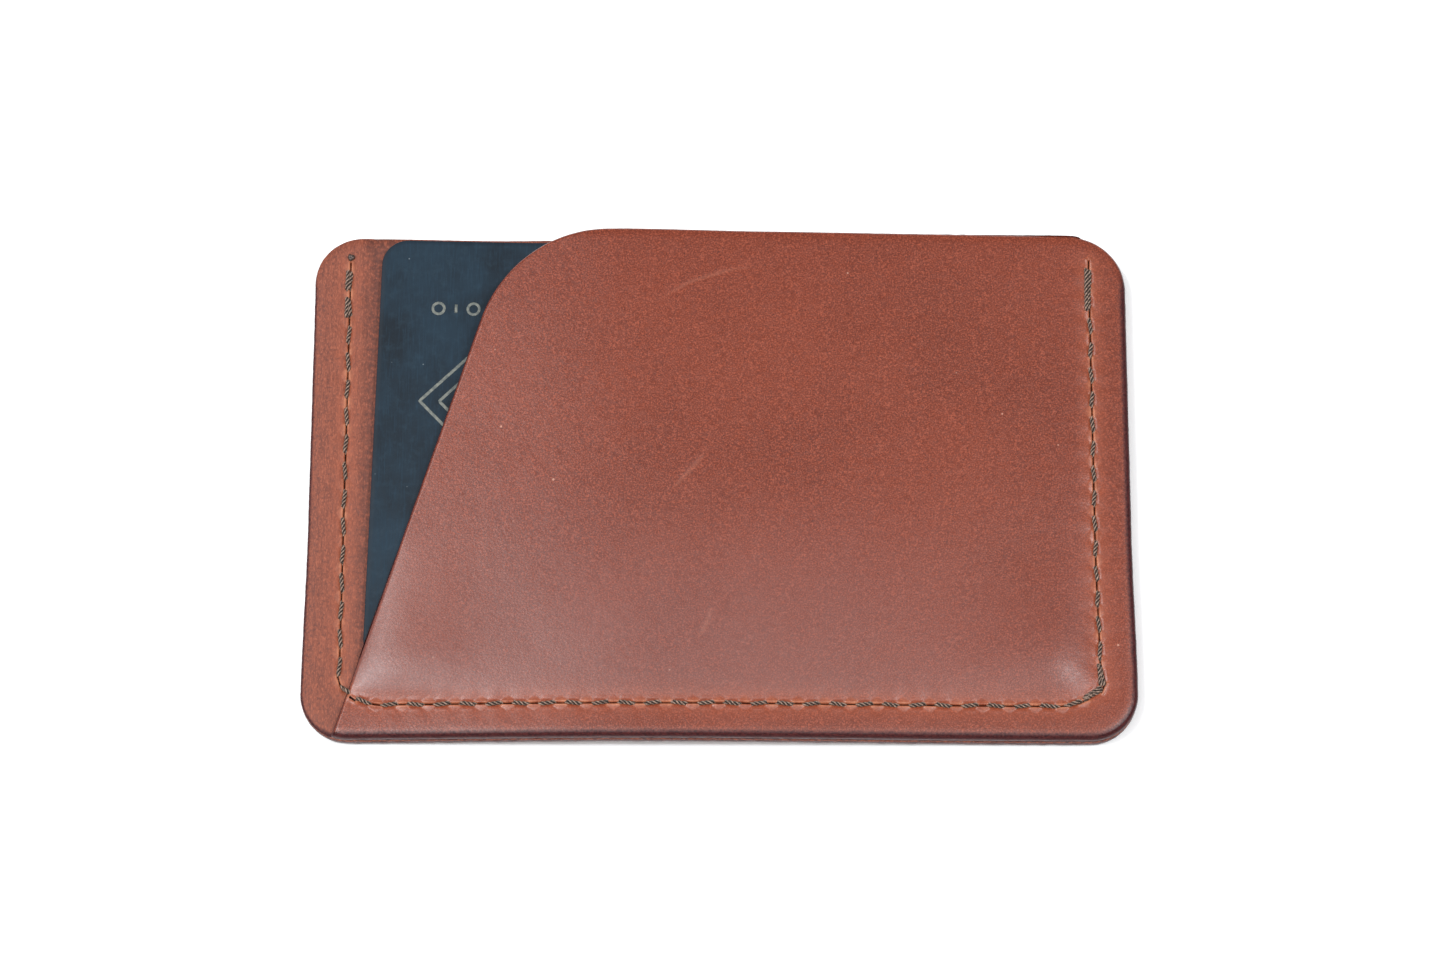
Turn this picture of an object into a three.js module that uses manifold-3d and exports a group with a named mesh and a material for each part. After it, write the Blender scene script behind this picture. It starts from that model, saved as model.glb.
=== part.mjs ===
// Leather card holder with one plastic card in its pocket.
//
// The holder lies on its back, open edge towards +Y. A back panel and a centre panel have
// the same outline. A front panel with a slanted thumb cut covers the centre panel, apart
// from a strip at the left, and is moulded up over the card that lies between the two. One
// seam of lockstitches down the left side, along the bottom and up the right side holds the
// layers together. All lengths are in millimetres.

import * as THREE from 'three';
import { mergeVertices } from 'three/addons/utils/BufferGeometryUtils.js';
import Module from 'manifold-3d';

// Outline of the holder: its lower end flares a little.
const FOOT_WIDTH = 100.2;
const SHOULDER_WIDTH = 99.6;
const HOLDER_HEIGHT = 63.7;
const FOOT_RADIUS = 5.8;
const TOP_LEFT_RADIUS = 5.8;
const TOP_RIGHT_RADIUS = 6.9;
const FLARE_TOP_Y = -6;
const FLARE_STEPS = 4;
const ARC_SEGMENTS = 5;

// Leather layers.
const BACK_THICKNESS = 1.2;
const CENTRE_THICKNESS = 1.0;
const FRONT_THICKNESS = 1.2;

// Slanted thumb cut of the front panel: a straight slant that turns into the top edge.
const CUT_FOOT_X = -46.3;
const CUT_LEAN = THREE.MathUtils.degToRad(18.2);
const CUT_RADIUS = 16.7;

// Standard bank-size card, a little turned in the pocket.
const CARD_WIDTH = 85.6;
const CARD_HEIGHT = 54;
const CARD_THICKNESS = 0.76;
const CARD_RADIUS = 3.18;
const CARD_TURN = THREE.MathUtils.degToRad(-1.3);
const CARD_X = 0.68;
const CARD_Y = 3.3;

// Pocket moulded into the front panel, open at the top and at the thumb cut.
const POCKET_CLEARANCE = 0.12;
const POCKET_RIGHT_X = 44.25;
const POCKET_FOOT_Y = -24.85;
const POCKET_CORNER_RADIUS = 2.6;
const RISE_RIGHT_X = 44.95;
const RISE_FOOT_Y = -25.7;
const RISE_CORNER_RADIUS = 3.4;
const RISE_BEVEL = 0.6;

// Seam: evenly spaced holes down the left side, along the bottom and up the right side.
const SEAM_TOP_Y = 28;
const LEFT_SEAM_INSET = 4.3;
const RIGHT_SEAM_INSET = 4.45;
const BOTTOM_SEAM_INSET = 4.05;
const BOTTOM_SEAM_HALF_LENGTH = 40.9;
const LEFT_STITCHES = 15;
const BOTTOM_STITCHES = 26;
const RIGHT_STITCHES = 16;
const LEFT_SEAM_FOOT_Y = -24.6;
const RIGHT_SEAM_FOOT_Y = -22.4;
const LEFT_CORNER_HOLE = new THREE.Vector2(-43.9, -26.95);
const RIGHT_CORNER_HOLES = [new THREE.Vector2(43.5, -27.2), new THREE.Vector2(45.9, -25.5)];

// Thread, its holes and the groove that sinks the stitches of the back.
const HOLE_RADIUS = 0.55;
const HOLE_SIDES = 6;
const THREAD_RADIUS = 0.18;
const THREAD_SIDES = 5;
const THREAD_CLEARANCE = 0.04;
const LEG_OFFSET = 0.24;
const GROOVE_WIDTH = 0.6;
const GROOVE_DEPTH = 0.5;
const BEAD_RADIUS = 0.42;
const BEAD_DISTANCE = 1.2;

const TOP_Y = HOLDER_HEIGHT / 2;
const CENTRE_TOP_Z = BACK_THICKNESS + CENTRE_THICKNESS;
const FRONT_TOP_Z = CENTRE_TOP_Z + FRONT_THICKNESS;
const POCKET_DEPTH = CARD_THICKNESS + 2 * POCKET_CLEARANCE;
const RISE_TOP_Z = FRONT_TOP_Z + POCKET_DEPTH;
const LOCK_Z = CENTRE_TOP_Z / 2;
const OVERSIZE = 2 * FOOT_WIDTH;

const wasm = await Module();
wasm.setup();

// A closed geometry as a solid that can be joined and cut.
function toSolid(geometry) {
  const bare = geometry.clone();
  bare.deleteAttribute('normal');
  bare.deleteAttribute('uv');
  const merged = mergeVertices(bare, 1e-4);
  return new wasm.Manifold(new wasm.Mesh({
    numProp: 3,
    vertProperties: new Float32Array(merged.attributes.position.array),
    triVerts: new Uint32Array(merged.index.array),
  }));
}

// A solid back as a geometry with flat-shaded faces.
function toGeometry(solid) {
  const mesh = solid.getMesh();
  const geometry = new THREE.BufferGeometry();
  geometry.setAttribute('position', new THREE.BufferAttribute(mesh.vertProperties, mesh.numProp));
  geometry.setIndex(new THREE.BufferAttribute(mesh.triVerts, 1));
  const faceted = geometry.toNonIndexed();
  faceted.computeVertexNormals();
  return faceted;
}

function named(name, geometry, color, roughness) {
  const material = new THREE.MeshStandardMaterial({ color, roughness, metalness: 0 });
  const mesh = new THREE.Mesh(geometry, material);
  mesh.name = name;
  return mesh;
}

// Half the holder's width at height y: straight sides that flare towards the foot.
function halfWidth(y) {
  const flareFootY = -TOP_Y + FOOT_RADIUS;
  const flare = 1 - THREE.MathUtils.smoothstep(y, flareFootY, FLARE_TOP_Y);
  return SHOULDER_WIDTH / 2 + flare * (FOOT_WIDTH - SHOULDER_WIDTH) / 2;
}

function holderOutline() {
  const foot = FOOT_WIDTH / 2;
  const shoulder = SHOULDER_WIDTH / 2;
  const footArcY = -TOP_Y + FOOT_RADIUS;
  const rightArcX = shoulder - TOP_RIGHT_RADIUS;
  const leftArcX = TOP_LEFT_RADIUS - shoulder;
  const quarter = Math.PI / 2;
  const outline = new THREE.Shape();
  outline.absarc(foot - FOOT_RADIUS, footArcY, FOOT_RADIUS, -quarter, 0, false);
  for (let step = 1; step <= FLARE_STEPS; step += 1) {
    const y = THREE.MathUtils.lerp(footArcY, FLARE_TOP_Y, step / FLARE_STEPS);
    outline.lineTo(halfWidth(y), y);
  }
  outline.absarc(rightArcX, TOP_Y - TOP_RIGHT_RADIUS, TOP_RIGHT_RADIUS, 0, quarter, false);
  outline.absarc(leftArcX, TOP_Y - TOP_LEFT_RADIUS, TOP_LEFT_RADIUS, quarter, Math.PI, false);
  for (let step = FLARE_STEPS; step >= 1; step -= 1) {
    const y = THREE.MathUtils.lerp(footArcY, FLARE_TOP_Y, step / FLARE_STEPS);
    outline.lineTo(-halfWidth(y), y);
  }
  outline.absarc(-foot + FOOT_RADIUS, footArcY, FOOT_RADIUS, Math.PI, 3 * quarter, false);
  return outline;
}

// Everything to the right of the slanted thumb cut.
function cutOutline() {
  const arcX = CUT_FOOT_X + thumbArcOffset();
  const arcY = TOP_Y - CUT_RADIUS;
  const region = new THREE.Shape();
  region.moveTo(OVERSIZE, -TOP_Y - OVERSIZE);
  region.lineTo(CUT_FOOT_X - OVERSIZE * Math.tan(CUT_LEAN), -TOP_Y - OVERSIZE);
  region.absarc(arcX, arcY, CUT_RADIUS, Math.PI - CUT_LEAN, Math.PI / 2, true);
  region.lineTo(arcX, OVERSIZE);
  region.lineTo(OVERSIZE, OVERSIZE);
  return region;
}

// From the foot of the slant to the centre of the arc that is tangent to it and to the top edge.
function thumbArcOffset() {
  const rise = HOLDER_HEIGHT - CUT_RADIUS + CUT_RADIUS * Math.sin(CUT_LEAN);
  return rise * Math.tan(CUT_LEAN) + CUT_RADIUS * Math.cos(CUT_LEAN);
}

// Everything above footY and left of rightX, with a round corner between them.
function pocketOutline(rightX, footY, radius) {
  const outline = new THREE.Shape();
  outline.moveTo(-OVERSIZE, footY);
  outline.lineTo(rightX - radius, footY);
  outline.absarc(rightX - radius, footY + radius, radius, -Math.PI / 2, 0, false);
  outline.lineTo(rightX, OVERSIZE);
  outline.lineTo(-OVERSIZE, OVERSIZE);
  return outline;
}

function rectangle(left, bottom, right, top) {
  const shape = new THREE.Shape();
  shape.moveTo(left, bottom);
  shape.lineTo(right, bottom);
  shape.lineTo(right, top);
  shape.lineTo(left, top);
  return shape;
}

function slab(shape, lowZ, thickness) {
  const geometry = new THREE.ExtrudeGeometry(shape, {
    depth: thickness,
    bevelEnabled: false,
    curveSegments: ARC_SEGMENTS,
  });
  return geometry.translate(0, 0, lowZ);
}

// The stitch holes in sewing order, from the top of the left side to the top of the right.
function seamHoles() {
  const holes = [];
  for (let i = 0; i <= LEFT_STITCHES; i += 1) {
    const y = THREE.MathUtils.lerp(SEAM_TOP_Y, LEFT_SEAM_FOOT_Y, i / LEFT_STITCHES);
    holes.push(new THREE.Vector2(LEFT_SEAM_INSET - SHOULDER_WIDTH / 2, y));
  }
  holes.push(LEFT_CORNER_HOLE);
  for (let i = 0; i <= BOTTOM_STITCHES; i += 1) {
    const x = THREE.MathUtils.lerp(-BOTTOM_SEAM_HALF_LENGTH, BOTTOM_SEAM_HALF_LENGTH, i / BOTTOM_STITCHES);
    holes.push(new THREE.Vector2(x, BOTTOM_SEAM_INSET - TOP_Y));
  }
  holes.push(...RIGHT_CORNER_HOLES);
  for (let i = 0; i <= RIGHT_STITCHES; i += 1) {
    const y = THREE.MathUtils.lerp(RIGHT_SEAM_FOOT_Y, SEAM_TOP_Y, i / RIGHT_STITCHES);
    holes.push(new THREE.Vector2(halfWidth(y) - RIGHT_SEAM_INSET, y));
  }
  return holes;
}

const HOLES = seamHoles();

// All the stitch holes as one tool that cuts through every layer.
function holeTool() {
  const drills = HOLES.map(({ x, y }) => {
    const drill = new THREE.CylinderGeometry(HOLE_RADIUS, HOLE_RADIUS, 4 * FRONT_TOP_Z, HOLE_SIDES);
    return toSolid(drill.rotateX(Math.PI / 2).translate(x, y, 0));
  });
  return wasm.Manifold.union(drills);
}

const DRILLS = holeTool();

function outlineSlab(lowZ, thickness) {
  return toSolid(slab(holderOutline(), lowZ, thickness));
}

// A run of straight stretches whose corners turn half-way between their neighbours.
class Run extends THREE.Curve {
  constructor(corners) {
    super();
    this.corners = corners;
  }

  getPointAt(u) {
    return this.corners[Math.round(u * (this.corners.length - 1))].clone();
  }

  getTangentAt(u) {
    const last = this.corners.length - 1;
    const at = Math.round(u * last);
    const here = this.corners[at];
    const arriving = here.clone().sub(this.corners[Math.max(at - 1, 0)]).normalize();
    const leaving = this.corners[Math.min(at + 1, last)].clone().sub(here).normalize();
    return arriving.add(leaving).normalize();
  }
}

function sweep(section, corners) {
  const extrudePath = new Run(corners);
  return new THREE.ExtrudeGeometry(section, { steps: corners.length - 1, extrudePath, bevelEnabled: false });
}

function threadSection() {
  const section = new THREE.Shape();
  for (let side = 0; side < THREAD_SIDES; side += 1) {
    const angle = 2 * Math.PI * side / THREAD_SIDES;
    const x = THREAD_RADIUS * Math.cos(angle);
    const y = THREAD_RADIUS * Math.sin(angle);
    if (side === 0) {
      section.moveTo(x, y);
    } else {
      section.lineTo(x, y);
    }
  }
  return section;
}

// One thread as a row of staples: over each stitch, and down or up a leg into each hole.
// runZ gives the height of the stitch after a hole, and legZ how far its legs reach in.
function threadCorners(runZ, legZ) {
  const corners = [];
  for (let i = 0; i < HOLES.length - 1; i += 1) {
    const along = HOLES[i + 1].clone().sub(HOLES[i]).setLength(LEG_OFFSET);
    const start = HOLES[i].clone().add(along);
    const end = HOLES[i + 1].clone().sub(along);
    corners.push(new THREE.Vector3(start.x, start.y, legZ));
    corners.push(new THREE.Vector3(start.x, start.y, runZ(i)));
    corners.push(new THREE.Vector3(end.x, end.y, runZ(i)));
    corners.push(new THREE.Vector3(end.x, end.y, legZ));
  }
  return corners;
}

function backPanel() {
  const grooveHalf = GROOVE_WIDTH / 2;
  const section = rectangle(-GROOVE_DEPTH, -grooveHalf, GROOVE_DEPTH, grooveHalf);
  const route = HOLES.map(({ x, y }) => new THREE.Vector3(x, y, 0));
  const groove = toSolid(sweep(section, route));
  const panel = outlineSlab(0, BACK_THICKNESS).subtract(groove).subtract(DRILLS);
  return named('back_panel', toGeometry(panel), 0x8f4636, 0.55);
}

function centrePanel() {
  const panel = outlineSlab(BACK_THICKNESS, CENTRE_THICKNESS).subtract(DRILLS);
  return named('centre_panel', toGeometry(panel), 0xa3523b, 0.6);
}

// The raised part of the front panel, with a bevel round its top.
function rise() {
  const outline = pocketOutline(RISE_RIGHT_X - RISE_BEVEL, RISE_FOOT_Y + RISE_BEVEL, RISE_CORNER_RADIUS);
  const geometry = new THREE.ExtrudeGeometry(outline, {
    depth: POCKET_DEPTH,
    bevelThickness: RISE_BEVEL,
    bevelSize: RISE_BEVEL,
    bevelSegments: 2,
    curveSegments: ARC_SEGMENTS,
  });
  return toSolid(geometry.translate(0, 0, RISE_TOP_Z - RISE_BEVEL - POCKET_DEPTH));
}

// A sewn rim, a raised part over the card and the pocket under it, right of the thumb cut.
function frontPanel() {
  const region = toSolid(slab(cutOutline(), CENTRE_TOP_Z, FRONT_THICKNESS + POCKET_DEPTH));
  const block = outlineSlab(CENTRE_TOP_Z, FRONT_THICKNESS + POCKET_DEPTH).intersect(region);
  const pocket = pocketOutline(POCKET_RIGHT_X, POCKET_FOOT_Y, POCKET_CORNER_RADIUS);
  const hollow = toSolid(slab(pocket, CENTRE_TOP_Z - POCKET_DEPTH, 2 * POCKET_DEPTH));
  const panel = outlineSlab(CENTRE_TOP_Z, FRONT_THICKNESS).add(rise()).intersect(block);
  return named('front_panel', toGeometry(panel.subtract(hollow).subtract(DRILLS)), 0x964b3a, 0.5);
}

// Height of the leather that a hole opens in, on the front of the holder.
function frontSurface(holeIndex) {
  return holeIndex <= LEFT_STITCHES ? CENTRE_TOP_Z : FRONT_TOP_Z;
}

// The needle thread shows on the front; a melted bead ends it above the first hole.
function needleThread() {
  const lift = THREAD_RADIUS + THREAD_CLEARANCE;
  const runZ = (i) => Math.max(frontSurface(i), frontSurface(i + 1)) + lift;
  const corners = threadCorners(runZ, LOCK_Z + lift);
  const first = HOLES[0];
  const beadY = first.y + BEAD_DISTANCE;
  const beadZ = CENTRE_TOP_Z + THREAD_CLEARANCE + BEAD_RADIUS;
  corners[0] = new THREE.Vector3(first.x, beadY, runZ(0));
  corners.splice(1, 1);
  const thread = toSolid(sweep(threadSection(), corners));
  const bead = new THREE.IcosahedronGeometry(BEAD_RADIUS, 1).translate(first.x, beadY, beadZ);
  return named('needle_thread', toGeometry(thread.add(toSolid(bead))), 0x75695a, 0.8);
}

// The bobbin thread runs in the groove of the back and meets the needle thread half-way up.
function bobbinThread() {
  const lift = THREAD_RADIUS + THREAD_CLEARANCE;
  const corners = threadCorners(() => lift, LOCK_Z - lift);
  return named('bobbin_thread', toGeometry(toSolid(sweep(threadSection(), corners))), 0x75695a, 0.8);
}

function card() {
  const halfWide = CARD_WIDTH / 2 - CARD_RADIUS;
  const halfHigh = CARD_HEIGHT / 2 - CARD_RADIUS;
  const quarter = Math.PI / 2;
  const outline = new THREE.Shape();
  outline.absarc(halfWide, halfHigh, CARD_RADIUS, 0, quarter, false);
  outline.absarc(-halfWide, halfHigh, CARD_RADIUS, quarter, 2 * quarter, false);
  outline.absarc(-halfWide, -halfHigh, CARD_RADIUS, 2 * quarter, 3 * quarter, false);
  outline.absarc(halfWide, -halfHigh, CARD_RADIUS, 3 * quarter, 4 * quarter, false);
  const mesh = named('card', slab(outline, 0, CARD_THICKNESS), 0x223a47, 0.5);
  mesh.rotation.z = CARD_TURN;
  mesh.position.set(CARD_X, CARD_Y, CENTRE_TOP_Z + POCKET_CLEARANCE);
  return mesh;
}

const group = new THREE.Group();
group.add(backPanel());
group.add(centrePanel());
group.add(frontPanel());
group.add(needleThread());
group.add(bobbinThread());
group.add(card());

export default group;
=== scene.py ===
# A stitched leather card holder with a plastic card, dressed around its CAD frame.
#
# Lengths are worked out in millimetres and turned into metres as each mesh is made.
# The holder lies on its back. A back panel and a centre panel have the same outline. The
# front panel, with a slanted thumb cut, is moulded over the card. All of it is bowed a
# little across its width.

import math
import bmesh
import bpy
import numpy as np
from mathutils import Matrix, Vector
from mathutils.geometry import delaunay_2d_cdt


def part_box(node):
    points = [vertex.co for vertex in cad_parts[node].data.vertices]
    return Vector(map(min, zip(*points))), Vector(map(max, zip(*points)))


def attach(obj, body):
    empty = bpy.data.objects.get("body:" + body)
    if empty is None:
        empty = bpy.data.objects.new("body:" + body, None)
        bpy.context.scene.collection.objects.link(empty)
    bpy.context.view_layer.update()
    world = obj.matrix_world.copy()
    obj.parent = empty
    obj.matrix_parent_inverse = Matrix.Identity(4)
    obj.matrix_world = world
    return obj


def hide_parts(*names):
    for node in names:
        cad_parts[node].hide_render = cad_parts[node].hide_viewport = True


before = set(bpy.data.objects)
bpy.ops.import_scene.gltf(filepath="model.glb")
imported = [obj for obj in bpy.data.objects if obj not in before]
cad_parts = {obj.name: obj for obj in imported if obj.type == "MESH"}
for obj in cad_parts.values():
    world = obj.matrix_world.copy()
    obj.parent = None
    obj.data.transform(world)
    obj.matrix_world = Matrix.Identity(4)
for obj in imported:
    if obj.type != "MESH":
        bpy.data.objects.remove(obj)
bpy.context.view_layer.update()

MM = 0.001


# The lowest and highest corners of a CAD node, in millimetres.
def box_mm(node):
    low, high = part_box(node)
    return np.array(low) / MM, np.array(high) / MM


# Sizes that the frame gives, and the front panel's own thickness.
_, BACK_HIGH = box_mm("back_panel")
_, CENTRE_HIGH = box_mm("centre_panel")
_, FRONT_HIGH = box_mm("front_panel")
CARD_LOW, CARD_HIGH = box_mm("card")
TOP_Y = BACK_HIGH[1]
FOOT = BACK_HIGH[0]
BACK_TOP = BACK_HIGH[2]
CENTRE_TOP = CENTRE_HIGH[2]
FRONT_THICKNESS = 1.2
FRONT_TOP = CENTRE_TOP + FRONT_THICKNESS
RISE = FRONT_HIGH[2] - FRONT_TOP

# Outline of the holder.
SHOULDER = 49.8
FOOT_RADIUS = 5.8
TOP_LEFT_RADIUS = 5.8
TOP_RIGHT_RADIUS = 6.9
FLARE_TOP_Y = -6.0
FLARE_FOOT_Y = -TOP_Y + FOOT_RADIUS
TOP_HOLLOW = 0.32

# Slanted thumb cut of the front panel.
CUT_FOOT_X = -46.3
CUT_LEAN = math.radians(18.2)
CUT_RADIUS = 16.7
CUT_RISE = 2 * TOP_Y - CUT_RADIUS + CUT_RADIUS * math.sin(CUT_LEAN)
CUT_CENTRE_X = CUT_FOOT_X + CUT_RISE * math.tan(CUT_LEAN) + CUT_RADIUS * math.cos(CUT_LEAN)
CUT_CENTRE_Y = TOP_Y - CUT_RADIUS

# Card, its edge (inset and depth) and its print.
CARD_SIZE = (85.6, 54.0)
CARD_RADIUS = 3.18
CARD_TURN = math.radians(-1.3)
CARD_CENTRE = (CARD_LOW[:2] + CARD_HIGH[:2]) / 2
CARD_EDGE = ((0.07, 0.0), (0.02, 0.02), (0.0, 0.07))
PRINT_ROW = (-35.6, 18.2)
PRINT_PITCH = 2.15
PRINT_SQUARES = (-30.4, 6.2)

# Seam.
SEAM_TOP_Y = 28.0
LEFT_SEAM_X = -45.5
BOTTOM_SEAM_Y = -27.8
BOTTOM_SEAM_HALF = 40.9
RIGHT_SEAM_INSET = 4.45
LEFT_SEAM_FOOT_Y = -24.6
RIGHT_SEAM_FOOT_Y = -22.4
LEFT_CORNER_HOLES = [[-43.9, -26.95]]
RIGHT_CORNER_HOLES = [[43.5, -27.2], [45.9, -25.5]]
LEFT_STITCHES = 15
BOTTOM_STITCHES = 26
RIGHT_STITCHES = 16

# Awl slits and thread.
SLIT_HALF_LENGTH = 0.60
SLIT_HALF_WIDTH = 0.075
SLIT_POINTS = 20
SLIT_RINGS = (0.05, 0.12, 0.21, 0.33, 0.50, 0.72)
LEG_OFFSET = 0.66
CORNER_LEG_OFFSET = 0.30
ELBOW = 0.36
PLIES = 3
PLY_RADIUS = 0.130
PLY_OFFSET = 0.148
PLY_SIDES = 8
TWIST_PITCH = 1.7
LOCK_Z = CENTRE_TOP / 2
LOCK_GAP = 0.30
MELTED_PLACE = (0.02, 1.25)
MELTED_RADII = (0.46, 0.44, 0.27)

# How the leather lies.
ARCH_HEIGHT = 1.45
ARCH_TOP_X = -9.0
ARCH_HALF_LEFT = 40.0
ARCH_HALF_RIGHT = 52.0
CORNER_LIFT = 0.75
RISE_REACH = 1.6
DOME_HEIGHT = 0.80
DOME_REACH = 9.0
MOUND_STEP = 4.0
MOUND_REACH = 11.5
MOUNDS = ((-43.9, -26.9, 1.10), (45.4, -26.6, 1.15))
FALL_FOOT_Y = -25.0
FALL_TOP_Y = -7.0
THINNEST = 0.27
EDGE_FALL = 0.24
EDGE_FALL_WIDTH = 1.35
STRIP_DISH = 0.10
DISH_X = -43.0
LAYER_GAP = 0.01

# Panel meshes: how far the flat faces stop short of the outline, the spacing of their points,
# and the radii of each edge at its top and its bottom face.
CAP_INSET = 0.50
HIDDEN_SPACING = 1.3
BACK_SPACING = 1.6
CENTRE_SPACING = 1.25
FRONT_SPACING = 1.1
BACK_EDGE = (0.07, 0.38)
CENTRE_EDGE = (0.15, 0.07)
FRONT_EDGE = (0.42, 0.07)

# Studio.
CAMERA_ELEVATION = 73.0
CAMERA_ROLL = 0.117
CAMERA_DISTANCE = 0.5279
CAMERA_TARGET = (0.00037, 0.00114, 0.0)
CAMERA_LENS = 107.86
WORLD_STRENGTH = 0.38
COOL_WHITE = (0.93, 0.97, 1.0)


def smoothstep(low, high, x):
    t = np.clip((np.asarray(x, float) - low) / (high - low), 0.0, 1.0)
    return t * t * (3 - 2 * t)


# One where x is 0, falling off on both sides.
def bell(x, width):
    return np.exp(-(x / width) ** 2)


# Vectors made one long, given one to a row or alone.
def unit(vectors):
    return vectors / np.hypot(*vectors.T)[..., None]


def half_width(y):
    flare = 1 - smoothstep(FLARE_FOOT_Y, FLARE_TOP_Y, y)
    return SHOULDER + flare * (FOOT - SHOULDER)


# Smooth random heights from -1 to 1 with bumps of the given size.
def value_noise(x, y, size, seed):
    grid = np.random.default_rng(seed).uniform(-1, 1, (64, 64))
    u = np.asarray(x, float) / size + 31.7
    v = np.asarray(y, float) / size + 31.7
    i, j = np.floor(u).astype(int), np.floor(v).astype(int)
    fu, fv = smoothstep(0, 1, u - i), smoothstep(0, 1, v - j)
    near = grid[i % 64, j % 64] * (1 - fu) + grid[(i + 1) % 64, j % 64] * fu
    far = grid[i % 64, (j + 1) % 64] * (1 - fu) + grid[(i + 1) % 64, (j + 1) % 64] * fu
    return near * (1 - fv) + far * fv


# ---- outlines

def arc(centre_x, centre_y, radius, start, end, steps=24):
    angles = np.radians(np.linspace(start, end, steps + 1))
    return np.stack([centre_x + radius * np.cos(angles), centre_y + radius * np.sin(angles)], 1)


# Points a fixed distance apart along a line or round a closed outline.
def resample(points, spacing, closed=True):
    ring = np.vstack([points, points[:1]]) if closed else np.asarray(points, float)
    steps = np.hypot(*np.diff(ring, axis=0).T)
    keep = np.append(True, steps > 1e-6)
    ring = ring[keep]
    length = np.append(0, np.cumsum(np.hypot(*np.diff(ring, axis=0).T)))
    count = max(4, int(round(length[-1] / spacing)))
    at = np.linspace(0, length[-1], count + 1)
    if closed:
        at = at[:-1]
    return np.stack([np.interp(at, length, ring[:, k]) for k in range(2)], 1)


def inside_ring(points, ring):
    inside = np.zeros(len(points), bool)
    for a, b in zip(ring, np.roll(ring, -1, 0)):
        if a[1] == b[1]:
            continue
        crosses = (a[1] > points[:, 1]) != (b[1] > points[:, 1])
        x = a[0] + (points[:, 1] - a[1]) * (b[0] - a[0]) / (b[1] - a[1])
        inside ^= crosses & (points[:, 0] < x)
    return inside


def right_side():
    y = np.linspace(FLARE_FOOT_Y, FLARE_TOP_Y, 14)
    return np.stack([half_width(y), y], 1)


def upper_right():
    return arc(SHOULDER - TOP_RIGHT_RADIUS, TOP_Y - TOP_RIGHT_RADIUS, TOP_RIGHT_RADIUS, 0, 90)


def lower_right():
    return arc(FOOT - FOOT_RADIUS, FLARE_FOOT_Y, FOOT_RADIUS, -90, 0)


# The top edge of the lower layers, cut a little hollow behind the card, from right to left.
def top_edge():
    x = np.linspace(SHOULDER - TOP_RIGHT_RADIUS - 1, TOP_LEFT_RADIUS - SHOULDER + 1, 60)
    hollow = smoothstep(-42, -26, x) * (1 - smoothstep(-12, 8, x))
    return np.column_stack([x, TOP_Y - TOP_HOLLOW * hollow])


def holder_outline():
    upper_left = arc(TOP_LEFT_RADIUS - SHOULDER, TOP_Y - TOP_LEFT_RADIUS, TOP_LEFT_RADIUS, 90, 180)
    left_side = right_side()[::-1] * [-1, 1]
    lower_left = arc(FOOT_RADIUS - FOOT, FLARE_FOOT_Y, FOOT_RADIUS, 180, 270)
    upper = np.vstack([upper_right(), top_edge(), upper_left])
    return np.vstack([lower_right(), right_side(), upper, left_side, lower_left])


# The x of the front panel's left edge, its slant and its arc, at each y.
def cut_x(y):
    slant = CUT_FOOT_X + (np.asarray(y, float) + TOP_Y) * math.tan(CUT_LEAN)
    rise = np.clip(y - CUT_CENTRE_Y, 0, CUT_RADIUS)
    round_x = CUT_CENTRE_X - np.sqrt(CUT_RADIUS ** 2 - rise ** 2)
    return np.where(y > CUT_CENTRE_Y + CUT_RADIUS * math.sin(CUT_LEAN), round_x, slant)


def front_outline():
    lower_left = arc(FOOT_RADIUS - FOOT, FLARE_FOOT_Y, FOOT_RADIUS, 180, 270, 240)
    lower_left = lower_left[lower_left[:, 0] > cut_x(lower_left[:, 1])]
    thumb = arc(CUT_CENTRE_X, CUT_CENTRE_Y, CUT_RADIUS, 90, 180 - math.degrees(CUT_LEAN), 40)
    return np.vstack([lower_left, lower_right(), right_side(), upper_right(), thumb])


# ---- seam

def seam_holes():
    left_y = np.linspace(SEAM_TOP_Y, LEFT_SEAM_FOOT_Y, LEFT_STITCHES + 1)
    bottom_x = np.linspace(-BOTTOM_SEAM_HALF, BOTTOM_SEAM_HALF, BOTTOM_STITCHES + 1)
    right_y = np.linspace(RIGHT_SEAM_FOOT_Y, SEAM_TOP_Y, RIGHT_STITCHES + 1)
    left = np.stack([np.full_like(left_y, LEFT_SEAM_X), left_y], 1)
    bottom = np.stack([bottom_x, np.full_like(bottom_x, BOTTOM_SEAM_Y)], 1)
    right = np.stack([half_width(right_y) - RIGHT_SEAM_INSET, right_y], 1)
    return np.vstack([left, LEFT_CORNER_HOLES, bottom, RIGHT_CORNER_HOLES, right])


HOLES = seam_holes()
STEPS = np.diff(HOLES, axis=0)
LENGTHS = np.hypot(*STEPS.T)
ALONG = STEPS / LENGTHS[:, None]
SLIT_ALONG = unit(np.vstack([ALONG[:1], ALONG[:-1] + ALONG[1:], ALONG[-1:]]))


def turned(direction):
    return np.stack([-direction[..., 1], direction[..., 0]], -1)


# For each point: how far the nearest stitch is, which one it is, and how far along it.
def seam_coordinates(points):
    best = np.full(len(points), np.inf)
    stitch = np.zeros(len(points), int)
    along = np.zeros(len(points))
    for i, (start, direction, length) in enumerate(zip(HOLES, ALONG, LENGTHS)):
        offset = points - start
        s = np.clip(offset @ direction, 0, length)
        distance = np.hypot(*(offset - s[:, None] * direction).T)
        nearer = distance < best
        best[nearer], stitch[nearer], along[nearer] = distance[nearer], i, s[nearer]
    return best, stitch, along


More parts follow.
